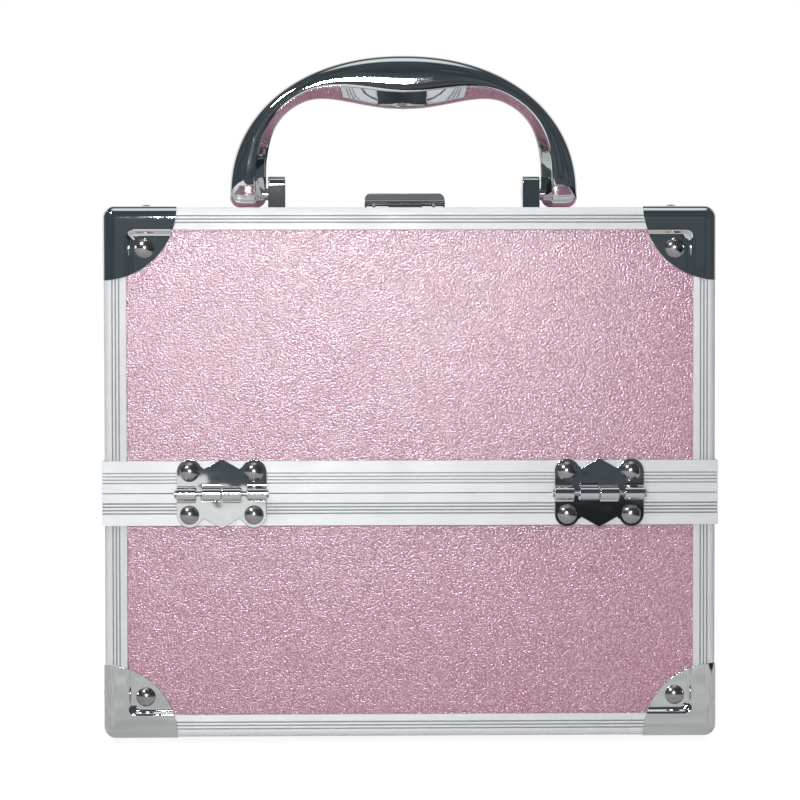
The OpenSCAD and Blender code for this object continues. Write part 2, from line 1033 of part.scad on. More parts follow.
module handle_brackets() {
    color(chrome)
        left_right()
            translate([0, pivot_back, top_z])
                difference() {
                    union() {
                        block([bracket_x[0], -bracket_foot, 0],
                              [bracket_x[1], bracket_foot, bracket_foot_t]);
                        block([bracket_x[0], profile_end - pivot_back, -profile_t],
                              [bracket_x[1], bracket_foot, bracket_foot_t]);
                        block([bracket_x[0], -bracket_half, 0],
                              [bracket_x[1], bracket_half, bracket_h - bracket_top_r]);
                        block([bracket_x[0], bracket_top_r - bracket_half, 0],
                              [bracket_x[1], bracket_half - bracket_top_r, bracket_h]);
                        for (y = [bracket_top_r - bracket_half, bracket_half - bracket_top_r])
                            translate([0, y, bracket_h - bracket_top_r])
                                shaft_x(bracket_x[0], bracket_x[1], bracket_top_r);
                    }
                    translate([0, 0, pivot_up])
                        shaft_x(bracket_x[0] - 1, bracket_x[1] + 1, handle_pin_r);
                }
}

module handle_pins() {
    color(steel)
        left_right()
            translate([0, pivot_back, grip_pivot_z])
                shaft_x(bracket_x[0], grip_half - 5.5, handle_pin_r);
}

module bracket_screws() {
    color(steel)
        left_right()
            for (s = [-1, 1])
                translate([(bracket_x[0] + bracket_x[1]) / 2, pivot_back + s * screw_at,
                           top_z + bracket_foot_t])
                    intersection() {
                        translate([0, 0, -2.4]) sphere(3.7);
                        cylinder(h = 1.4, r = 2.7);
                    }
}

// ---- Latch: a lever on the rear wing and a keeper on the front one ----

module latch_base() {
    color(chrome)
        translate([0, 0, top_z])
            difference() {
                union() {
                    block([-15, 1.2, 0], [15, 20.4, plate_t]);
                    block([-15, profile_end, -profile_t], [15, 20.4, plate_t]);
                    left_right() {
                        block([ear_x[0], lever_pin[0] - ear_r, 0],
                              [ear_x[1], lever_pin[0] + ear_r, lever_pin[1]]);
                        translate([0, lever_pin[0], lever_pin[1]])
                            shaft_x(ear_x[0], ear_x[1], ear_r);
                    }
                }
                translate([0, lever_pin[0], lever_pin[1]]) shaft_x(-20, 20, latch_pin_r);
            }
}

module latch_pin() {
    color(steel)
        translate([0, lever_pin[0], top_z + lever_pin[1]])
            shaft_x(-lever_half + 0.1, lever_half - 0.1, latch_pin_r);
}

module latch_lever() {
    color(chrome)
        translate([0, 0, top_z])
            difference() {
                intersection() {
                    along_x(-lever_half, lever_half) lever_side(0);
                    along_y(lever_y[0], lever_y[1]) lever_front(0);
                }
                intersection() {
                    along_x(-lever_half + lever_t, lever_half - lever_t) lever_side(lever_t);
                    along_y(lever_y[0] - 1, lever_y[1] + 1) lever_front(lever_t);
                }
                // Open underneath, and open behind so that the back clears the plate as it turns
                block([-lever_half + lever_t, lever_y[0] - 1, -1],
                      [lever_half - lever_t, lever_y[1] - lever_t, 1]);
                block([-lever_half + lever_t, lever_pin[0], -1],
                      [lever_half - lever_t, lever_y[1] + 1, lever_pin[1]]);
                // Slots that let the plate's ears through the back wall as it turns
                left_right()
                    block([ear_x[0] - 0.35, lever_pin[0], -1],
                          [ear_x[1] + 0.35, lever_y[1] + 1, ear_slot_top]);
                translate([0, lever_pin[0], lever_pin[1]])
                    shaft_x(-lever_half - 1, lever_half + 1, latch_bore_r);
                translate([0, plug_y, 0]) cylinder(h = 20, r = plug_bore_r);
            }
}

// Key plug in the lever, with a cam that swings out under the lip into the keeper
module lock_cylinder() {
    color(steel)
        translate([0, plug_y, top_z])
            difference() {
                union() {
                    translate([0, 0, cam_z[0]]) cylinder(h = lever_h - 0.1 - cam_z[0], r = plug_r);
                    block([0, -2, cam_z[0]], [cam_len, 2, cam_z[1]]);
                }
                block([-0.4, -2.2, lever_h - 1.6], [0.4, 2.2, lever_h + 1]);
                translate([0, 0, lever_h - 1.6]) cylinder(h = 3, r = 1.1);
            }
}

module latch_keeper() {
    color(chrome)
        translate([0, 0, top_z])
            difference() {
                union() {
                    block([-11, -17.4, 0], [11, keeper_y[0] + 1.2, plate_t]);
                    block([-11, -17.4, -profile_t], [11, -profile_end, plate_t]);
                    block([-keeper_w / 2, keeper_y[0], 0], [keeper_w / 2, keeper_y[1], keeper_h]);
                }
                block([-keeper_w / 2 + 1.2, keeper_y[0] + 1.2, 1],
                      [keeper_w / 2 - 1.2, keeper_y[1] + 1, keeper_h - keeper_lip]);
            }
}

module latch_screws() {
    color(steel)
        translate([0, 0, top_z + plate_t])
            for (x = [-7.5, 7.5])
                translate([x, 11.6, 0]) cylinder(h = 0.9, r = 2);
}

base_front_panel();
base_rear_panel();
base_left_panel();
base_right_panel();
base_bottom_panel();
base_lining();
base_corner_posts();
base_bottom_rails();
base_rim();
base_corner_caps();
base_rivets();
feet();
foot_screws();
hinge_base_leaves();
hinge_pins();
link_studs();
front_lid_face_panel();
front_lid_top_panel();
front_lid_left_panel();
front_lid_right_panel();
front_lid_lining();
front_lid_edge_profiles();
front_lid_seam_profiles();
front_lid_rim();
front_lid_corner_caps();
front_lid_rivets();
front_lid_hinge_leaves();
front_tray_studs();
rear_lid_face_panel();
rear_lid_top_panel();
rear_lid_left_panel();
rear_lid_right_panel();
rear_lid_lining();
rear_lid_edge_profiles();
rear_lid_seam_profiles();
rear_lid_rim();
rear_lid_corner_caps();
rear_lid_rivets();
rear_lid_hinge_leaves();
rear_tray_studs();
front_lower_tray();
front_upper_tray();
rear_lower_tray();
rear_upper_tray();
front_tray_links();
rear_tray_links();
handle_grip();
handle_brackets();
handle_pins();
bracket_screws();
latch_base();
latch_pin();
latch_lever();
lock_cylinder();
latch_keeper();
latch_screws();
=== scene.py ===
"""Two-wing make-up case with a top handle, dressed for a studio picture.

Shapes are worked out in millimetres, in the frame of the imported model, and put into metres when
a mesh is made. Metalwork is pressed, cast or extruded, so it has rolled edges and soft steps.
"""

import json
import math

import bmesh
import bpy
import numpy as np
from mathutils import Matrix, Vector

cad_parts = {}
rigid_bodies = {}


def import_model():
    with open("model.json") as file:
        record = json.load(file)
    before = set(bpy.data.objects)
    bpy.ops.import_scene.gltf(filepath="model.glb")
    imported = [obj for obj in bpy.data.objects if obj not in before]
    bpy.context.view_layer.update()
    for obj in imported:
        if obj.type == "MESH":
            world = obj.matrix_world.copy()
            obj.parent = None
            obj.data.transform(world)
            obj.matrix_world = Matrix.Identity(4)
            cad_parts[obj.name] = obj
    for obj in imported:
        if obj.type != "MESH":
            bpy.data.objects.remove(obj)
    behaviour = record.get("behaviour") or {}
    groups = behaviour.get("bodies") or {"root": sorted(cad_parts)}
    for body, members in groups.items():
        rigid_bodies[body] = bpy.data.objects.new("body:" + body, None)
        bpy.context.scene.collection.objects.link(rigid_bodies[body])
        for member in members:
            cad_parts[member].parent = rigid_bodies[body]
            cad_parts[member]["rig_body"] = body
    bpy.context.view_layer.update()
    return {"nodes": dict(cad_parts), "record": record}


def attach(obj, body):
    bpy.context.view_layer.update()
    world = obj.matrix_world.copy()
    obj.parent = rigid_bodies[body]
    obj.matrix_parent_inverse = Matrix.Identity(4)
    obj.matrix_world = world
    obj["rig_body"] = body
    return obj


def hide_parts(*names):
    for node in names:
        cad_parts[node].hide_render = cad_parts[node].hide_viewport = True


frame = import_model()

MM = 0.001
CASE_HALF = np.array([120.0, 85.0])  # half the width and depth over the edge profiles
BAND_OUT = 1.0                       # the rim band stands this far out past them
FLOOR_Z, SEAM_Z, TOP_Z = 2.5, 98.5, 210.5  # underside, seam at mid height, and top of the case

slots = {row["node"]: row["material_slot"] for row in frame["record"]["subparts"]}


# ---- Meshes ----

def as_lists(faces):
    """Faces as rows of point numbers, from such rows or from an array."""
    return faces if isinstance(faces, list) else faces.tolist()


def grid_faces(rows, columns, closed=False):
    """Quads of a grid of points that was laid out row by row; closed joins the last column to
    the first."""
    across = columns if closed else columns - 1
    i, j = np.meshgrid(np.arange(rows - 1), np.arange(across), indexing="ij")
    a = i * columns + j
    b = i * columns + (j + 1) % columns
    return np.stack([a, b, b + columns, a + columns], axis=-1).reshape(-1, 4)


def joined(parts):
    """Several (points, faces) pairs as one pair."""
    starts = np.cumsum([0] + [len(points) for points, _ in parts[:-1]]).tolist()
    faces = []
    for first, (_, some) in zip(starts, parts):
        faces += [[first + i for i in row] for row in as_lists(some)]
    return np.concatenate([points for points, _ in parts]), faces


def turned(part, matrix):
    """A part moved by a 4x4 matrix in millimetres; a mirroring one turns its faces round."""
    points, faces = part
    m = np.array(matrix, float)
    if np.linalg.det(m[:3, :3]) < 0:
        faces = [row[::-1] for row in as_lists(faces)]
    return points @ m[:3, :3].T + m[:3, 3], faces


def repeated(part, matrices):
    """A part at each of several places."""
    return joined([turned(part, m) for m in matrices])


def facing(direction, at):
    """Matrix that stands a part's +Z along a direction, at a point."""
    z = np.array(direction, float)
    x = np.cross((0, 1, 0) if abs(z[1]) < 0.9 else (1, 0, 0), z)
    x /= np.linalg.norm(x)
    m = np.eye(4)
    m[:3, 0], m[:3, 1], m[:3, 2], m[:3, 3] = x, np.cross(z, x), z, at
    return m


def revolved(profile, sides):
    """A profile of (radius, height) pairs turned about Z; radius 0 closes a pole."""
    turn = np.linspace(0, 2 * math.pi, sides, endpoint=False)
    r, z = np.array(profile, float).T
    ring = np.stack([
        r[:, None] * np.cos(turn), r[:, None] * np.sin(turn), np.repeat(z[:, None], sides, axis=1),
    ], axis=-1)
    return ring.reshape(-1, 3), grid_faces(len(r), sides, closed=True)


def smooth_step(value, low, high):
    """0 below low, 1 above high, and an S-curve between."""
    t = np.clip((value - low) / (high - low), 0.0, 1.0)
    return t * t * (3.0 - 2.0 * t)


def piece(name, part, node, material, weld=0.004, flat_join=0.0, sharp=32.0, recalc=True):
    """A new object from a part in millimetres that stands for one CAD node: points closer than
    weld are one point, coplanar faces within flat_join degrees are one face, and edges over sharp
    degrees stay crisp."""
    points, faces = part
    mesh = bpy.data.meshes.new(name)
    mesh.from_pydata((points * MM).tolist(), [], as_lists(faces))
    form = bmesh.new()
    form.from_mesh(mesh)
    bmesh.ops.remove_doubles(form, verts=form.verts, dist=weld * MM)
    if flat_join:
        bmesh.ops.dissolve_limit(
            form, angle_limit=math.radians(flat_join), verts=form.verts, edges=form.edges
        )
    if recalc:
        bmesh.ops.recalc_face_normals(form, faces=form.faces)
    form.to_mesh(mesh)
    form.free()
    mesh.shade_smooth()
    mesh.set_sharp_from_angle(angle=math.radians(sharp))
    mesh.materials.append(material)
    made = bpy.data.objects.new(name, mesh)
    bpy.context.scene.collection.objects.link(made)
    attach(made, frame["nodes"][node]["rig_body"])
    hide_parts(node)
    return made


def rolled(made, width, steps=2, angle=34.0):
    """Rolls the edges over an angle, width in millimetres."""
    edge = made.modifiers.new("rolled_edges", "BEVEL")
    edge.limit_method = "ANGLE"
    edge.angle_limit = math.radians(angle)
    edge.width = width * MM
    edge.segments = steps
    edge.use_clamp_overlap = False
    edge.harden_normals = True


def cad_part(node):
    """Points in millimetres and triangles of a CAD node."""
    mesh = frame["nodes"][node].data
    points = np.empty(3 * len(mesh.vertices))
    mesh.vertices.foreach_get("co", points)
    corners = np.empty(len(mesh.loops), int)
    mesh.loops.foreach_get("vertex_index", corners)
    return points.reshape(-1, 3) / MM, corners.reshape(-1, 3)


def finished(node, ending, material, width, steps=2):
    """A CAD node's own shape with its edges rolled. Large faces keep their own flat normals."""
    made = piece(node + ending, cad_part(node), node, material, flat_join=0.4, recalc=False)
    rolled(made, width, steps)
    flat = made.modifiers.new("flat_faces", "WEIGHTED_NORMAL")
    flat.keep_sharp = True
    return made


GROOVE_DEEP = (0.03, 0.36)  # a groove's faces lie this far behind the nearest plane
PROFILE_ROLL = 2.82         # a face this far behind the next plane is off the rolled corner
NO_PLANE = 50.0             # stands for the planes above and below, which a rim doesn't have


def extruded(node):
    """Finishes a node of aluminium bars and marks each face with two attributes: "along" is the
    bar's direction, and "in_groove" is 1 inside the grooves.

    Distances are taken from the planes of the case, or of the band for a rim. A bar runs along
    the axis whose planes are the farthest away.
    """
    made = finished(node, "_extruded", aluminium, 0.07, 1)
    faces = made.data.polygons
    centre = np.empty(3 * len(faces))
    faces.foreach_get("center", centre)
    x, y, z = centre.reshape(-1, 3).T / MM
    band = node.endswith("_rim")
    half_w, half_d = CASE_HALF + (BAND_OUT if band else 0.0)
    dz = np.full(len(x), NO_PLANE) if band else np.minimum(TOP_Z - z, z - FLOOR_Z)
    far = np.stack([half_w - np.abs(x), half_d - np.abs(y), dz], axis=-1)
    axis = np.where(far[:, 0] > far[:, 1], 0, 1) if band else far.argmax(axis=1)
    nearest, second, _ = np.sort(far, axis=1).T
    grooved = (nearest > GROOVE_DEEP[0]) & (nearest < GROOVE_DEEP[1]) & (second > PROFILE_ROLL)
    along = made.data.attributes.new("along", "FLOAT_VECTOR", "FACE")
    along.data.foreach_set("vector", np.eye(3)[axis].ravel())
    in_groove = made.data.attributes.new("in_groove", "FLOAT", "FACE")
    in_groove.data.foreach_set("value", grooved.astype(float))


# ---- Materials ----

def linear(colour):
    """An sRGB hex colour as linear numbers."""
    parts = [int(colour[i:i + 2], 16) / 255 for i in (1, 3, 5)]
    return (*[c / 12.92 if c <= 0.04045 else ((c + 0.055) / 1.055) ** 2.4 for c in parts], 1.0)


def add(tree, kind, inputs, **settings):
    """Adds a node with its settings. inputs gives each socket a value or another node's socket."""
    made = tree.nodes.new("ShaderNode" + kind)
    for key, value in settings.items():
        setattr(made, key, value)
    for key, value in inputs.items():
        if isinstance(value, bpy.types.NodeSocket):
            tree.links.new(value, made.inputs[key])
        else:
            made.inputs[key].default_value = value
    return made


def per_mm(size):
    """Texture scale that gives features of about size millimetres."""
    return 1.0 / (size * MM)


def noise(tree, at, size, detail=2.0, roughness=0.5, distortion=0.0):
    """Noise from 0 to 1 with features of about size millimetres."""
    return add(tree, "TexNoise", {
        "Vector": at, "Scale": per_mm(size), "Detail": detail, "Roughness": roughness,
        "Distortion": distortion,
    }).outputs["Fac"]


def ramp(tree, value, low, high, to_low=0.0, to_high=1.0, kind="LINEAR"):
    """A value whose span from low to high goes to another span and is held at its ends."""
    return add(tree, "MapRange", {
        "Value": value, "From Min": low, "From Max": high, "To Min": to_low, "To Max": to_high,
    }, interpolation_type=kind).outputs[0]


def blend(tree, share, first, second):
    """Two colours, each an sRGB hex colour or a socket, mixed by the share of the second."""
    first, second = (linear(c) if isinstance(c, str) else c for c in (first, second))
    return add(tree, "Mix", {0: share, 6: first, 7: second}, data_type="RGBA").outputs[2]


def bumped(tree, height, strength, deep, **below):
    """The normal over a height whose step from 0 to 1 is deep millimetres."""
    return add(tree, "Bump", {
        "Height": height, "Strength": strength, "Distance": deep * MM, **below,
    }).outputs[0]


def start(name):
    """A new material: its tree, and a socket with the place on the piece in metres."""
    made = bpy.data.materials.new(name)
    made.use_nodes = True
    made.node_tree.nodes.clear()
    place = add(made.node_tree, "TexCoord", {}).outputs["Object"]
    return made, made.node_tree, place


def close(tree, shader):
    """Puts a shader node on the surface."""
    add(tree, "OutputMaterial", {"Surface": shader.outputs[0]})


# Pearl laminate: a pink pearl film pressed with a fine pebble grain, 0.9 mm from crest to crest
# round the case and 0.7 mm upwards. Its shine comes from the flakes and the film's clear top, so
# slopes that face a light show as short strokes.
def pearl_laminate():
    made, tree, spot = start("pearl_laminate")
    place = add(tree, "Mapping", {"Vector": spot, "Scale": (0.98, 0.98, 1.26)}).outputs[0]
    crumpled = noise(tree, place, 0.64, detail=1.0, roughness=0.4, distortion=0.5)
    pebbles = add(tree, "TexVoronoi", {
        "Vector": place, "Scale": per_mm(0.85), "Randomness": 0.9, "Smoothness": 0.4,
    }, feature="SMOOTH_F1")
    dome = ramp(tree, pebbles.outputs["Distance"], 0.05, 0.75, 1.0, 0.0)
    height = add(tree, "Mix", {"Factor": 0.42, "A": crumpled, "B": dome}).outputs[0]
    # The film's tone follows the grain's height, darker in the valleys and lighter on the crests:
    # partly its own tone, thinner in the valleys, and partly painted shade in the valleys.
    film_with_valley_shade = blend(tree, ramp(tree, height, 0.36, 0.66), "#9a687e", "#c494a7")
    dull = ramp(tree, noise(tree, place, 28.0), 0.3, 0.7, 0.19, 0.25)
    grain = bumped(tree, height, 1.0, 0.165)
    close(tree, add(tree, "BsdfPrincipled", {
        "Base Color": film_with_valley_shade, "Roughness": dull, "Normal": grain, "IOR": 1.80,
        "Coat Weight": 1.0, "Coat Roughness": 0.22, "Coat Normal": grain,
    }))
    return made


# Anodised aluminium: extruded, lightly etched and clear anodised, so it is pale and satin. Drawing
# lines of 0.25 mm run along each bar and spread what it mirrors across the bar. The grooves are
# painted a darker grey as painted shade in the recesses. The attributes "along" and "in_groove"
# come from extruded().
def anodised_aluminium():
    made, tree, place = start("anodised_aluminium")
    along = add(tree, "Attribute", {}, attribute_name="along", attribute_type="GEOMETRY")
    groove_shade_mask = add(tree, "Attribute", {}, attribute_name="in_groove", attribute_type="GEOMETRY")
    across = add(tree, "VectorMath", {
        0: (1.0, 1.0, 1.0), 1: along.outputs["Vector"],
    }, operation="SUBTRACT")
    stretch = add(tree, "VectorMath", {
        0: across.outputs[0], 1: (0.97, 0.97, 0.97), 2: (0.03, 0.03, 0.03),
    }, operation="MULTIPLY_ADD")
    lines_at = add(tree, "VectorMath", {0: place, 1: stretch.outputs[0]}, operation="MULTIPLY")
    lines = noise(tree, lines_at.outputs[0], 0.25, detail=3.0)
    dull = ramp(tree, noise(tree, place, 14.0, detail=3.0), 0.3, 0.7, 0.40, 0.50)
    tone = blend(tree, lines, "#c8cacd", "#dddfe2")
    drawn = add(tree, "VectorTransform", {
        "Vector": along.outputs["Vector"],
    }, vector_type="VECTOR", convert_from="OBJECT", convert_to="WORLD")
    # Inside the grooves the tone goes to #9a9ca0: painted shade in the recesses.
    close(tree, add(tree, "BsdfPrincipled", {
        "Base Color": blend(tree, groove_shade_mask.outputs["Fac"], tone, "#9a9ca0"), "Metallic": 0.18,
        "Roughness": dull, "Normal": bumped(tree, lines, 0.3, 0.03),
        "Anisotropic": 0.8, "Anisotropic Rotation": 0.25, "Tangent": drawn.outputs[0],
    }))
    return made


def chrome_plate(name, wave, wave_deep, smooth, worn):
    """Chrome over a sheet or casting that waves by wave_deep over wave millimetres. Its roughness
    goes from smooth to worn with half-millimetre hairline wear."""
    made, tree, place = start(name)
    wear = noise(tree, place, 0.5, detail=4.0, roughness=0.7)
    waves = bumped(tree, noise(tree, place, wave, detail=1.0), 1.0, wave_deep)
    close(tree, add(tree, "BsdfPrincipled", {
        "Base Color": linear("#e3e5e6"), "Metallic": 1.0,
        "Roughness": ramp(tree, wear, 0.4, 0.7, smooth, worn),
        "Normal": bumped(tree, wear, 0.02, 0.02, Normal=waves),
    }))
    return made


# Chrome plate on pressed steel, for caps, leaves and latch: a bright mirror. The pressed sheet
# waves slightly every 9 mm, so what it mirrors bends into sweeping curves.
def pressed_chrome():
    return chrome_plate("pressed_chrome", 9.0, 0.045, 0.02, 0.055)


# Chrome plate on cast and buffed zinc, for the grip and its brackets: a mirror with a faint 3 mm
# orange peel.
def cast_chrome():
    return chrome_plate("cast_chrome", 3.0, 0.008, 0.02, 0.045)


def metal(made, tree, wear, dull, colours, strength):
    """Closes a plated metal: its tone lies between two colours, and its bump is 0.03 mm deep."""
    close(tree, add(tree, "BsdfPrincipled", {
        "Base Color": blend(tree, wear, *colours), "Metallic": 1.0, "Roughness": dull,
        "Normal": bumped(tree, wear, strength, 0.03),
    }))
    return made


# Nickel-plated steel of rivets, screws, pins and the lock: a darker mirror than chrome, tumbled
# before plating, so its highlights are soft.
def nickel_steel():
    made, tree, place = start("nickel_steel")
    wear = noise(tree, place, 0.8, detail=4.0, roughness=0.65)
    dull = ramp(tree, wear, 0.4, 0.75, 0.18, 0.30)
    return metal(made, tree, wear, dull, ("#aaa7aa", "#c8c5c8"), 0.15)


# Zinc-plated steel of the inner links and studs: rolled sheet with a dull bluish plate.
def zinc_steel():
    made, tree, place = start("zinc_steel")
    along_sheet = add(tree, "Mapping", {"Vector": place, "Scale": (1.0, 0.12, 1.0)})
    grain = noise(tree, along_sheet.outputs[0], 0.6, detail=3.0)
    dull = ramp(tree, grain, 0.3, 0.7, 0.26, 0.42)
    return metal(made, tree, grain, dull, ("#a3a8ac", "#c3c8cb"), 0.2)


# Lining: foam sheet faced with black knitted fabric. Threads are drawn 0.9 mm apart, coarser than
# the real 0.3 mm, so that the knit shows.
def knitted_lining():
    made, tree, place = start("knitted_lining")
    courses = add(tree, "TexWave", {
        "Vector": place, "Scale": per_mm(0.9) / 6.0, "Distortion": 2.0, "Detail": 1.0,
    }, wave_type="BANDS", bands_direction="DIAGONAL")
    fuzz = noise(tree, place, 0.7, detail=3.0)
    knit = add(tree, "Mix", {"Factor": 0.5, "A": courses.outputs["Fac"], "B": fuzz}).outputs[0]
    close(tree, add(tree, "BsdfPrincipled", {
        "Base Color": blend(tree, knit, "#19191c", "#3a3a3f"),
        "Roughness": ramp(tree, fuzz, 0.0, 1.0, 0.82, 0.98),
        "Normal": bumped(tree, knit, 0.5, 0.25), "Sheen Weight": 0.3, "Sheen Roughness": 0.5,
    }))
    return made


# Moulded ABS of the trays: black, with the 0.7 mm spark-eroded grain of the mould.
def moulded_abs():
    made, tree, place = start("moulded_abs")
    grain = noise(tree, place, 0.7)
    close(tree, add(tree, "BsdfPrincipled", {
        "Base Color": blend(tree, grain, "#18181b", "#242428"),
        "Roughness": ramp(tree, noise(tree, place, 35.0), 0.3, 0.7, 0.36, 0.5),
        "Normal": bumped(tree, grain, 0.35, 0.08), "IOR": 1.53,
    }))
    return made


# Rubber feet: matt dark grey with a dusty 1 mm mottle.
def moulded_rubber():
    made, tree, place = start("moulded_rubber")
    dust = noise(tree, place, 1.0, detail=4.0)
    close(tree, add(tree, "BsdfPrincipled", {
        "Base Color": blend(tree, dust, "#1f1f21", "#38383b"),
        "Roughness": ramp(tree, dust, 0.0, 1.0, 0.7, 0.9),
        "Normal": bumped(tree, dust, 0.3, 0.1),
    }))
    return made


laminate, aluminium = pearl_laminate(), anodised_aluminium()
chrome, cast = pressed_chrome(), cast_chrome()
nickel, zinc, lining = nickel_steel(), zinc_steel(), knitted_lining()
abs_plastic, rubber = moulded_abs(), moulded_rubber()


# ---- Corner caps ----

CAP_T = 0.55        # sheet of the caps
CAP_CLEAR = 0.02    # gap between the sheet and what it covers
CAP_R = 29.2        # radius of the quarter discs
CAP_EDGE_R = 4.6    # rolled outer edges and ball corner
STEP = (9.5, 11.2)  # the sheet steps down onto the board between these distances
STEP_DEEP = 1.2
STEP_ROUND = 3.0    # how far the step's own corner is rounded off


def soft_min(a, b, k):
    """The smaller of two values, rounded off where they are within k of each other."""
    near = np.clip(k - np.abs(a - b), 0.0, None)
    return np.minimum(a, b) - near * near / (4.0 * k)


def cap_half_face():
    """Half of one face of a corner cap, from the rolled edge y = 0 to the diagonal.

    p and q are distances from the cap's two outer edges. Rows have equal q and run from the
    diagonal p = q to the arc p^2 + q^2 = R^2, with more points near the diagonal, where the edge
    and the step are. The sheet lies STEP_DEEP deeper where the softened smaller of p and q is
    past STEP. Near an edge each point of the sharp corner is pulled onto a rolled edge: core is
    the nearest point of the corner shrunk by the radius, and the surface point is core plus the
    radius along point minus core.
    """
    r = CAP_EDGE_R
    rows = np.concatenate([
        r * (1.0 - np.tan(np.radians(np.linspace(45, 0, 9)))),
        np.linspace(r, STEP[0], 6)[1:],
        np.linspace(STEP[0], STEP[1], 11)[1:],
        np.linspace(STEP[1], CAP_R / math.sqrt(2), 9)[1:],
    ])
    spread = np.concatenate([
        np.linspace(0, 0.16, 9), np.linspace(0.16, 0.42, 15)[1:], np.linspace(0.42, 1, 10)[1:],
    ])
    q = np.repeat(rows[:, None], len(spread), axis=1)
    end = np.sqrt(np.maximum(CAP_R**2 - q**2, 0.0))
    p = q + (np.maximum(end, q) - q) * spread[None, :]
    down = STEP_DEEP * smooth_step(soft_min(p, q, STEP_ROUND), *STEP)
    point = np.stack([p, q, np.zeros_like(p)], axis=-1)
    core = np.maximum(point, r)
    away = point - core
    away /= np.linalg.norm(away, axis=-1, keepdims=True)
    surface = core + r * away
    surface[..., 2] += down * np.clip(-away[..., 2], 0, 1)
    return (surface - CAP_T).reshape(-1, 3), grid_faces(len(rows), len(spread))


def cap_sheet():
    """The whole cap: the half face on both sides of its diagonal, on each of the three faces."""
    swap = np.array([[0, 1, 0, 0], [1, 0, 0, 0], [0, 0, 1, 0], [0, 0, 0, 1]])
    next_face = np.array([[0, 0, 1, 0], [1, 0, 0, 0], [0, 1, 0, 0], [0, 0, 0, 1]])
    face = repeated(cap_half_face(), [np.eye(4), swap])
    return repeated(face, [np.linalg.matrix_power(next_face, i) for i in range(3)])


def corner(sx, sy, high):
    """Matrix from a cap's own corner, with the case on its plus sides, to a corner of the case."""
    return np.array([
        [-sx, 0, 0, sx * CASE_HALF[0]],
        [0, -sy, 0, sy * CASE_HALF[1]],
        [0, 0, -1 if high else 1, TOP_Z if high else FLOOR_Z],
        [0, 0, 0, 1],
    ], float)


def pressed_caps(node, corners):
    """Caps on some corners: the outer surface, thickened inwards."""
    caps = repeated(cap_sheet(), [corner(*c) for c in corners])
    made = piece(node + "_pressed", caps, node, chrome, weld=0.01, sharp=50.0)
    wall = made.modifiers.new("sheet", "SOLIDIFY")
    wall.thickness = (CAP_T - CAP_CLEAR) * MM
    wall.offset = -1.0
    wall.use_even_offset = True
    rolled(made, 0.12, 2, 55.0)


base_corners = [(sx, sy, False) for sx in (-1, 1) for sy in (-1, 1)]
front_corners = [(sx, -1, True) for sx in (-1, 1)]
rear_corners = [(sx, 1, True) for sx in (-1, 1)]
pressed_caps("base_corner_caps", base_corners)
pressed_caps("front_lid_corner_caps", front_corners)
pressed_caps("rear_lid_corner_caps", rear_corners)


# ---- Domed rivets ----

RIVET_R, RIVET_H = 3.8, 2.0
RIVET_EDGE = 0.12    # height of the head's straight edge
CAP_RIVET_AT = 16.0  # distance of a cap's rivets from the outer edges
RIVET_SEAT = 0.5     # they stand this far below the face of the case
HINGE_X = 74.0       # distance of each hinge from the middle of the case
LOBE_X, LOBE_UP, LOBE_R = 12.6, 8.4, 4.95  # a leaf's lobes, from the hinge's middle and pin
LEAF_T = 1.0
BAND_FACE = CASE_HALF[1] + BAND_OUT


def rivet():
    """A domed head standing on z = 0: a ball cap whose radius is (r^2 + h^2) / 2h, on a short
    straight edge that goes down into the sheet."""
    ball = (RIVET_R**2 + RIVET_H**2) / (2 * RIVET_H)
    rim = math.asin(RIVET_R / ball)
    angle = np.linspace(rim, 0, 12)
    dome = np.stack([ball * np.sin(angle), ball * np.cos(angle) - ball + RIVET_H], axis=-1)
    dome[0] = (RIVET_R, RIVET_EDGE)
    sunk = [(0, -0.5), (RIVET_R - 0.3, -0.5), (RIVET_R - 0.05, -0.2)]
    return revolved(sunk + dome.tolist(), 36)


def cap_rivet_places(c):
    """The three rivets of a cap, one on each face of its corner."""
    place = corner(*c)
    at, seat = CAP_RIVET_AT, RIVET_SEAT
    spots = [
        ((0, 0, -1), (at, at, seat)), ((-1, 0, 0), (seat, at, at)), ((0, -1, 0), (at, seat, at)),
    ]
    return [facing(place[:3, :3] @ d, place[:3, :3] @ p + place[:3, 3]) for d, p in spots]


def leaf_rivet_places(side, up):
    """Two rivets of each hinge leaf on one side of the case, above or below the seam."""
    face_y, z = side * (BAND_FACE + LEAF_T), SEAM_Z + up * LOBE_UP
    return [
        facing((0, side, 0), (x + s * LOBE_X, face_y, z))
        for x in (-HINGE_X, HINGE_X) for s in (-1, 1)
    ]


def domed_rivets(node, corners, leaf_sides, up):
    """The rivets of some caps, and of the leaves on some sides."""
    places = [m for c in corners for m in cap_rivet_places(c)]
    places += [m for side in leaf_sides for m in leaf_rivet_places(side, up)]
    piece(node + "_domed", repeated(rivet(), places), node, nickel, weld=0.002, sharp=50.0)


domed_rivets("base_rivets", base_corners, (-1, 1), -1)
domed_rivets("front_lid_rivets", front_corners, (-1,), 1)
domed_rivets("rear_lid_rivets", rear_corners, (1,), 1)


# ---- Hinge leaves ----

BARREL_R, BARREL_OUT = 2.5, 88.5  # radius, and distance of the pin from the middle of the case
BARREL_TURN = 205                 # degrees that the sheet runs round the pin
LEAF_FOOT = 0.15                  # the leaf starts this far above the middle of the pin
LEAF_PEAK, LEAF_VALLEY = 13.65, (6.9, 9.7)
LOBE_END = 28                     # degrees above level where the line to the valley leaves a lobe
KNUCKLES = [(-17.55, -10.0), (-7.6, -0.2), (0.2, 7.6), (10.0, 17.55)]
SLOT_H, SLOT_GAP = 2.8, 0.4       # slots for the other leaf's knuckles, and the gap beside them


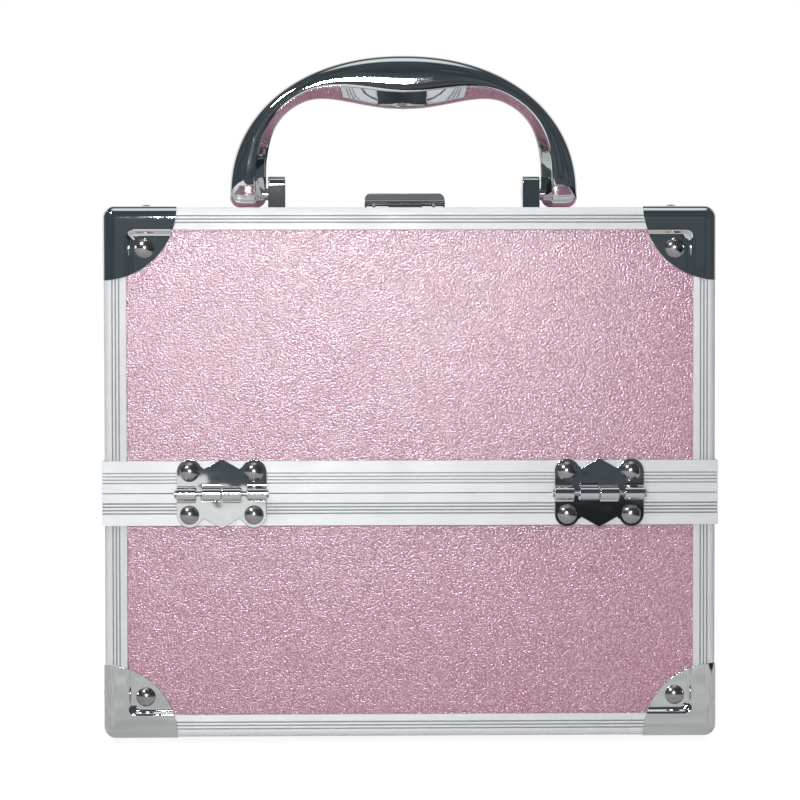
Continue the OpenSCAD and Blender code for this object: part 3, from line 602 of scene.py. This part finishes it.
def walled(outline, low, high):
    """A closed plate from a flat outline of (x, u) points that run counter-clockwise, from depth
    low to depth high along the third axis."""
    n = len(outline)
    flat = np.array(outline, float)
    points = np.concatenate([
        np.column_stack([flat, np.full(n, low)]), np.column_stack([flat, np.full(n, high)]),
    ])
    sides = [[i, (i + 1) % n, n + (i + 1) % n, n + i] for i in range(n)]
    return points, [list(range(n - 1, -1, -1)), list(range(n, 2 * n))] + sides


def arc(x, u, radius, start_deg, end_deg, count):
    """Points along an arc about (x, u)."""
    turn = np.radians(np.linspace(start_deg, end_deg, count))
    return np.column_stack([x + radius * np.cos(turn), u + radius * np.sin(turn)]).tolist()


def leaf_plate(first):
    """Half a butterfly above the pin: two round lobes, a straight-sided peak between them, and
    along the pin the slots for the other leaf's knuckles. A slot's inner sides run aslant, from
    lean_in inside its edge at the top to lean_out outside it at the foot."""
    edge, low, slot = LOBE_X + LOBE_R, LEAF_FOOT, SLOT_H
    lean_in, lean_out = 0.9, 0.5
    foot = [(-edge, low)]
    for i in range(1 - first, 4, 2):
        a, b = KNUCKLES[i]
        left, right = max(a - SLOT_GAP, -edge), min(b + SLOT_GAP, edge)
        right_side = [(right - lean_in, slot), (right + lean_out, low)]
        if left <= -edge:
            foot = [(-edge, slot)] + right_side
        elif right >= edge:
            foot += [(left - lean_out, low), (left + lean_in, slot), (edge, slot)]
        else:
            foot += [(left - 0.2, low), (left, slot)] + right_side
    if foot[-1][0] < edge:
        foot.append((edge, low))
    right_lobe = arc(LOBE_X, LOBE_UP, LOBE_R, 0, 180 - LOBE_END, 22)
    left_lobe = arc(-LOBE_X, LOBE_UP, LOBE_R, LOBE_END, 180, 22)
    vx, vu = LEAF_VALLEY
    crown = right_lobe + [(vx, vu), (0, LEAF_PEAK), (-vx, vu)] + left_lobe
    return walled(foot + crown, 0.0, LEAF_T)


def knuckle(a, b):
    """The sheet of a leaf rolled round the pin, from x = a to b, as a section in (out, up): up
    the leaf's face, through a concave fillet onto the barrel, and round it to the leaf's back."""
    centre = BARREL_OUT - BAND_FACE
    fillet = 1.0
    across = centre - (LEAF_T + fillet)
    lift = math.sqrt((BARREL_R + fillet)**2 - across**2)
    meet = math.degrees(math.atan2(lift, -across))
    top = lift + 0.4
    hollow = arc(LEAF_T + fillet, lift, fillet, 180, meet + 180, 7)
    barrel = arc(centre, 0, BARREL_R, meet, meet - BARREL_TURN, 34)
    section = [(0.0, top), (LEAF_T, top)] + hollow + barrel[1:] + [(0.0, LEAF_FOOT)]
    part = walled(section[::-1], a, b)
    return turned(part, [[0, 0, 1, 0], [0, 1, 0, 0], [1, 0, 0, 0], [0, 0, 0, 1]])


def hinge_leaves(node, sides, up, first):
    """Rolled leaves with their knuckles on the given sides of the case, above or below the pin.
    Parts are drawn with x along the pin, then upwards, then out of the band's face."""
    leaf = joined([leaf_plate(first)] + [knuckle(*KNUCKLES[i]) for i in range(first, 4, 2)])
    leaves = repeated(leaf, [
        [[1, 0, 0, x], [0, 0, side, side * BAND_FACE], [0, up, 0, SEAM_Z], [0, 0, 0, 1]]
        for side in sides for x in (-HINGE_X, HINGE_X)
    ])
    made = piece(node + "_rolled", leaves, node, chrome, weld=0.001, sharp=40.0)
    rolled(made, 0.18, 2, 50.0)


hinge_leaves("hinge_base_leaves", (-1, 1), -1, 0)
hinge_leaves("front_lid_hinge_leaves", (-1,), 1, 1)
hinge_leaves("rear_lid_hinge_leaves", (1,), 1, 1)


# ---- Handle grip ----

PIVOT = np.array([0.0, 14.5, 219.0])
GRIP_HALF, GRIP_RISE, ARM_W = 73.5, 58.5, 15.5     # half width, top above the pivots, arm width
OPENING_H, PALM_T, PALM_REACH = 43.0, 22.6, 42.0   # hand opening, palm swell and half its length
ARM_DEPTH, PALM_DEPTH, ARM_DROP = 11.6, 15.6, 5.9  # front to rear, and arm ends below the pivots
NARROW_FROM = 13.0                                 # the arms narrow below this height over them
SECTION_POWER, OUTER_POWER, INNER_POWER, PALM_POWER = 2.5, 2.15, 3.8, 1.8
INNER_RISE_POWER = 0.58                            # makes the inner arch squarer
END_WIDTH_POWER, END_DROP_POWER, END_DEPTH_POWER = 0.62, 0.8, 0.4  # shape the arms' round ends
# The section, in half thicknesses: the front face breaks to the underside at the crease, and a
# flat facet goes from there to the toe, where the round nose starts.
CREASE, TOE = 0.40, (-0.93, 0.30)
NOSE_AT, NOSE_HALF = -0.87, 0.33


def signed_power(value, exponent):
    """A power of the size that keeps the sign."""
    return np.sign(value) * np.abs(value) ** exponent


def grip_section():
    """Section of the grip as (outwards, front) from -1 to 1: a superellipse on the outside as far
    as the crease, then a flat facet that runs in to a narrow round underside. The rear is the
    front mirrored."""
    angle = np.linspace(0, math.pi, 60)
    c = signed_power(np.cos(angle), 2 / SECTION_POWER)
    s = np.sin(angle) ** (2 / SECTION_POWER)
    body = np.stack([c, s], axis=-1)[c > -CREASE]
    crease = np.array([-CREASE, (1 - CREASE**SECTION_POWER) ** (1 / SECTION_POWER)])
    facet = crease + (np.array(TOE) - crease) * np.linspace(0, 1, 7)[:, None]
    turn = np.radians(np.linspace(35, 90, 6)[1:])
    nose = np.stack([
        NOSE_AT - (1 + NOSE_AT) * np.sin(turn), NOSE_HALF * np.cos(turn),
    ], axis=-1)
    front = np.concatenate([body, facet, nose])
    rear = front[-2:0:-1] * (1, -1)
    return np.concatenate([front, rear])


def cast_grip():
    """The grip: the section is carried along an arch. Its outer edge is a superellipse through
    the pivots and the top, its inner edge a squarer arch less the palm swell, which falls off as
    (1 - (x / reach)^2)^power. Below the pivots the section shrinks by the cosine of an angle to a
    round end, and the depth of the arms narrows towards their ends by a cube law."""
    phi = np.linspace(0, math.pi, 151)
    outer = np.stack([
        GRIP_HALF * signed_power(np.cos(phi), 2 / OUTER_POWER),
        GRIP_RISE * np.sin(phi) ** (2 / OUTER_POWER),
    ], axis=-1)
    x = (GRIP_HALF - ARM_W) * signed_power(np.cos(phi), 2 / INNER_POWER)
    dip = OPENING_H - GRIP_RISE + PALM_T
    swell = dip * np.clip(1 - (x / PALM_REACH) ** 2, 0, None) ** PALM_POWER
    inner = np.stack([
        x, OPENING_H * np.abs(np.sin(phi)) ** INNER_RISE_POWER - swell,
    ], axis=-1)
    depth = ARM_DEPTH + (PALM_DEPTH - ARM_DEPTH) * np.sin(phi) ** 3
    a = np.radians(np.linspace(0, 88, 16)[1:])
    shrink = np.cos(a) ** END_WIDTH_POWER
    middle, half = GRIP_HALF - ARM_W / 2, ARM_W / 2 * shrink
    drop = -ARM_DROP * np.sin(a) ** END_DROP_POWER
    low_outer = np.stack([middle + half, drop], axis=-1)
    low_inner = np.stack([middle - half, drop], axis=-1)
    flip = (-1, 1)
    outer = np.concatenate([low_outer[::-1], outer, low_outer * flip])
    inner = np.concatenate([low_inner[::-1], inner, low_inner * flip])
    end_depth = ARM_DEPTH * shrink**END_DEPTH_POWER
    depth = np.concatenate([end_depth[::-1], depth, end_depth])
    level = (outer[:, 1] + inner[:, 1]) / 2
    towards_end = np.clip((NARROW_FROM - level) / (NARROW_FROM + ARM_DROP), 0, 0.995)
    depth = depth * (1 - towards_end**3) ** (1 / 3)
    section = grip_section()
    mid, reach = (outer + inner) / 2, (outer - inner) / 2
    rings = np.stack([
        mid[:, None, 0] + reach[:, None, 0] * section[None, :, 0],
        -depth[:, None] / 2 * section[None, :, 1],
        mid[:, None, 1] + reach[:, None, 1] * section[None, :, 0],
    ], axis=-1)
    tips = rings[[0, -1]].mean(axis=1, keepdims=True).repeat(len(section), axis=1)
    rings = np.concatenate([tips[:1], rings, tips[1:]])
    return rings.reshape(-1, 3) + PIVOT, grid_faces(len(rings), len(section), closed=True)


grip = piece("handle_grip_cast", cast_grip(), "handle_grip", cast, weld=0.002, sharp=28.0)
rolled(grip, 0.25, 2, 26.0)


# ---- Feet and screw heads ----

FOOT_X, FOOT_Y = CASE_HALF - 40.0
FOOT_SCREW_Z = 1.2                             # seat of the screw in the well of a foot
BRACKET_SCREW_X, BRACKET_SCREW_Y = 53.65, 9.8  # from the middle, and from the pivots to both sides
LATCH_SCREW_X, LATCH_SCREW_Y = 7.5, 11.6
BRACKET_FOOT_T, LATCH_PLATE_T = 1.5, 1.2


def moulded_foot():
    """A foot turned from a profile: a drafted side, a rounded rim and the well of its screw."""
    return revolved([
        (0, 2.4), (3.1, 2.4), (3.3, 2.2), (3.4, 0.5), (3.7, 0.12), (4.2, 0.0), (6.0, 0.0),
        (6.45, 0.14), (6.75, 0.5), (7.0, 3.4), (6.9, 3.7), (0, 3.7),
    ], 40)


def cross_screw(radius, height):
    """A pan head with a cross recess: a round grid whose height falls off by the fourth power
    of the radius, less a cross of two rounded slots."""
    rings, sides = 18, 72
    r = np.linspace(0, 1, rings)[:, None] * np.ones((1, sides))
    turn = np.linspace(0, 2 * math.pi, sides, endpoint=False)[None, :] * np.ones((rings, 1))
    x, y = radius * r * np.cos(turn), radius * r * np.sin(turn)
    arm, thick, soft = radius * 0.62, radius * 0.16, 0.12

    def slot(along, aside):
        inside = smooth_step(thick - np.abs(aside), -soft, soft)
        return inside * smooth_step(arm - np.abs(along), 0, 0.3)

    z = height * (1 - 0.75 * r**4) - 0.55 * height * np.maximum(slot(x, y), slot(y, x))
    top = np.stack([x, y, z], axis=-1)
    skirt = top[-1:].copy()
    base = np.zeros_like(skirt)
    skirt[..., 2] = base[..., 2] = -0.2
    points = np.concatenate([top, skirt, base]).reshape(-1, 3)
    return points, grid_faces(rings + 2, sides, closed=True)


def cross_screws(node, radius, height, up, xs, ys, z):
    """Screw heads at each of the places xs by ys, facing up or down."""
    heads = repeated(cross_screw(radius, height), [
        facing((0, 0, up), (x, y, z)) for x in xs for y in ys
    ])
    piece(node + "_cross", heads, node, nickel, sharp=50.0)


feet = repeated(moulded_foot(), [
    facing((0, 0, 1), (x, y, 0)) for x in (-FOOT_X, FOOT_X) for y in (-FOOT_Y, FOOT_Y)
])
piece("feet_moulded", feet, "feet", rubber, sharp=50.0)
cross_screws("foot_screws", 2.6, 0.7, -1, (-FOOT_X, FOOT_X), (-FOOT_Y, FOOT_Y), FOOT_SCREW_Z)
cross_screws("bracket_screws", 2.7, 1.3, 1, (-BRACKET_SCREW_X, BRACKET_SCREW_X),
             (PIVOT[1] - BRACKET_SCREW_Y, PIVOT[1] + BRACKET_SCREW_Y), TOP_Z + BRACKET_FOOT_T)
cross_screws("latch_screws", 2.0, 0.9, 1, (-LATCH_SCREW_X, LATCH_SCREW_X), (LATCH_SCREW_Y,),
             TOP_Z + LATCH_PLATE_T)


# ---- Pieces that keep their CAD shape, with rolled edges ----

finished("handle_brackets", "_cast", cast, 0.5, 3)
finished("latch_base", "_pressed", chrome, 0.12)
finished("latch_lever", "_pressed", chrome, 0.25, 3)
finished("latch_keeper", "_pressed", chrome, 0.2)
finished("lock_cylinder", "_turned", nickel, 0.15)
for side in ("front", "rear"):
    finished(side + "_tray_links", "_blanked", zinc, 0.12)
    for level in ("lower", "upper"):
        finished(f"{side}_{level}_tray", "_moulded", abs_plastic, 0.3)
for node in ("base_corner_posts", "base_bottom_rails", "base_rim", "front_lid_edge_profiles",
             "rear_lid_edge_profiles", "front_lid_seam_profiles", "rear_lid_seam_profiles",
             "front_lid_rim", "rear_lid_rim"):
    extruded(node)

by_slot = {
    "pink_laminate": laminate, "aluminium": aluminium, "chrome": chrome, "steel": zinc,
    "lining": lining, "tray_plastic": abs_plastic, "rubber": rubber,
}
by_node = {
    "hinge_pins": nickel, "handle_pins": nickel, "latch_pin": nickel, "handle_grip": cast,
    "handle_brackets": cast,
}
for name, part in frame["nodes"].items():
    part.data.materials.clear()
    part.data.materials.append(by_node.get(name, by_slot[slots[name]]))


# ---- Studio ----

def studio_floor():
    """A pale sweep. The camera sees it white, with a soft shadow near the object. Mirrors see it
    as a glow of its own, not as lit: grey beside the case, which is painted shade, to pale farther
    off, with a faint darker mottle, as far as its front edge, which runs aslant; past that edge
    they see the dark room."""
    made, tree, _ = start("pale_sweep")
    rays = add(tree, "LightPath", {})
    where = add(tree, "NewGeometry", {}).outputs["Position"]
    split = add(tree, "SeparateXYZ", {"Vector": where})
    paper = blend(tree, noise(tree, where, 3.0), "#f4f4f4", "#f7f7f7")
    lit = add(tree, "BsdfDiffuse", {"Color": paper})
    away = add(tree, "VectorMath", {0: where}, operation="LENGTH").outputs["Value"]
    white = add(tree, "Emission", {"Color": (1, 1, 1, 1), "Strength": 1.08})
    seen = add(tree, "MixShader", {
        0: ramp(tree, away, 0.20, 0.50, 0.85, 1.0), 1: lit.outputs[0], 2: white.outputs[0],
    })
    # Painted shade: what mirrors see of the floor is grey beside the case and pale farther off.
    grey = blend(tree, ramp(tree, split.outputs["Y"], -0.12, -1.3), "#c6c6c5", "#ffffff")
    # A faint darker mottle in what mirrors see of the floor.
    scuffs = ramp(tree, noise(tree, where, 45.0), 0.3, 0.7, 0.0, 0.3)
    mottled_floor = blend(tree, scuffs, grey, "#5a5c5e")
    room = blend(tree, ramp(tree, split.outputs["Y"], -1.5, -1.9), "#22262a", "#4c5257")
    slant = add(tree, "Math", {
        0: split.outputs["X"], 1: -3.5, 2: split.outputs["Y"],
    }, operation="MULTIPLY_ADD")
    beyond = ramp(tree, slant.outputs[0], -1.31, -1.37)
    mirrored = add(tree, "Emission", {
        "Color": blend(tree, beyond, mottled_floor, room), "Strength": 1.0,
    })
    plain = add(tree, "MixShader", {
        0: rays.outputs["Is Glossy Ray"], 1: lit.outputs[0], 2: mirrored.outputs[0],
    })
    close(tree, add(tree, "MixShader", {
        0: rays.outputs["Is Camera Ray"], 1: plain.outputs[0], 2: seen.outputs[0],
    }))
    mesh = bpy.data.meshes.new("floor")
    mesh.from_pydata([(-6, -6, 0), (6, -6, 0), (6, 8, 0), (-6, 8, 0)], [], [(0, 1, 2, 3)])
    mesh.materials.append(made)
    floor = bpy.data.objects.new("floor", mesh)
    bpy.context.scene.collection.objects.link(floor)


def studio_world():
    """White to the camera and evenly grey to cloth and paint. Mirrors see a pale wall behind the
    object, up to half the height of the sky, a lit patch of ceiling straight above, and a dark,
    mottled room elsewhere."""
    world = bpy.data.worlds.new("studio")
    bpy.context.scene.world = world
    world.use_nodes = True
    tree = world.node_tree
    tree.nodes.clear()
    rays = add(tree, "LightPath", {})
    towards = add(tree, "TexCoord", {}).outputs["Generated"]
    split = add(tree, "SeparateXYZ", {"Vector": towards})
    clutter = add(tree, "TexNoise", {"Vector": towards, "Scale": 7.0, "Detail": 3.0})
    dark = blend(tree, ramp(tree, clutter.outputs["Fac"], 0.38, 0.66), "#383e43", "#4f585d")
    overhead = ramp(tree, split.outputs["Z"], 0.93, 0.985, kind="SMOOTHSTEP")
    behind = ramp(tree, split.outputs["Y"], 0.30, 0.62, kind="SMOOTHSTEP")
    low = ramp(tree, split.outputs["Z"], 0.85, 0.45, kind="SMOOTHSTEP")
    wall = add(tree, "Math", {0: behind, 1: low}, operation="MULTIPLY")
    room = blend(tree, wall.outputs[0], blend(tree, overhead, dark, "#eef1f3"), "#f4f5f6")
    even = add(tree, "Background", {"Color": (0.18, 0.18, 0.18, 1)})
    mirror = add(tree, "Background", {"Color": room})
    white = add(tree, "Background", {"Color": (1, 1, 1, 1)})
    glossy = add(tree, "MixShader", {
        0: rays.outputs["Is Glossy Ray"], 1: even.outputs[0], 2: mirror.outputs[0],
    })
    seen = add(tree, "MixShader", {
        0: rays.outputs["Is Camera Ray"], 1: glossy.outputs[0], 2: white.outputs[0],
    })
    add(tree, "OutputWorld", {"Surface": seen.outputs[0]})


def lamp(name, at, target, size, watts, mirrored=True):
    """A softbox: an area lamp of a width and a height, turned to a target, all in metres. One
    that isn't mirrored stands for light off walls and ceiling."""
    data = bpy.data.lights.new(name, "AREA")
    data.shape = "RECTANGLE"
    data.size, data.size_y = size
    data.energy = watts
    made = bpy.data.objects.new(name, data)
    made.location = at
    made.rotation_euler = (Vector(target) - Vector(at)).to_track_quat("-Z", "Y").to_euler()
    made.visible_camera = False
    made.visible_glossy = mirrored
    bpy.context.scene.collection.objects.link(made)


studio_floor()
studio_world()
lamp("front_softbox", (-0.06, -1.30, 0.36), (0, 0, 0.14), (0.20, 0.10), 5.6)
lamp("key_softbox", (-0.36, -0.42, 0.62), (0, 0, 0.12), (0.10, 0.09), 1.7)
lamp("ceiling_bounce", (0.0, -0.2, 1.6), (0, 0, 0.12), (1.2, 0.8), 13.5, mirrored=False)
lamp("rear_fill", (0.35, 1.2, 0.9), (0, 0, 0.12), (0.8, 0.6), 6.5, mirrored=False)


# ---- Camera ----

YAW, PITCH, ROLL = -1.407, -1.779, -0.083  # degrees, about the upright, across and ahead
CAMERA_AT = (-33.8, -1293.4, 172.5)
SENSOR_W, FOCAL_LENGTH = 36.0, 138.8


def photo_camera():
    """The photograph's camera, fitted to the corners of the case: yaw, then pitch, then roll."""
    yaw, pitch, roll = (math.radians(a) for a in (YAW, PITCH, ROLL))
    across = Vector((math.cos(yaw), math.sin(yaw), 0))
    level = Vector((-math.sin(yaw), math.cos(yaw), 0))
    ahead = level * math.cos(pitch) + Vector((0, 0, math.sin(pitch)))
    up = across.cross(ahead)
    right = across * math.cos(roll) + up * math.sin(roll)
    up = right.cross(ahead)
    data = bpy.data.cameras.new("photo_camera")
    data.sensor_width = SENSOR_W
    data.lens = FOCAL_LENGTH
    data.clip_start, data.clip_end = 0.05, 50.0
    made = bpy.data.objects.new("photo_camera", data)
    turn = Matrix((right, up, -ahead)).transposed()
    made.matrix_world = Matrix.Translation(Vector(CAMERA_AT) * MM) @ turn.to_4x4()
    bpy.context.scene.collection.objects.link(made)
    bpy.context.scene.camera = made


photo_camera()
bpy.context.scene.view_settings.view_transform = "Standard"
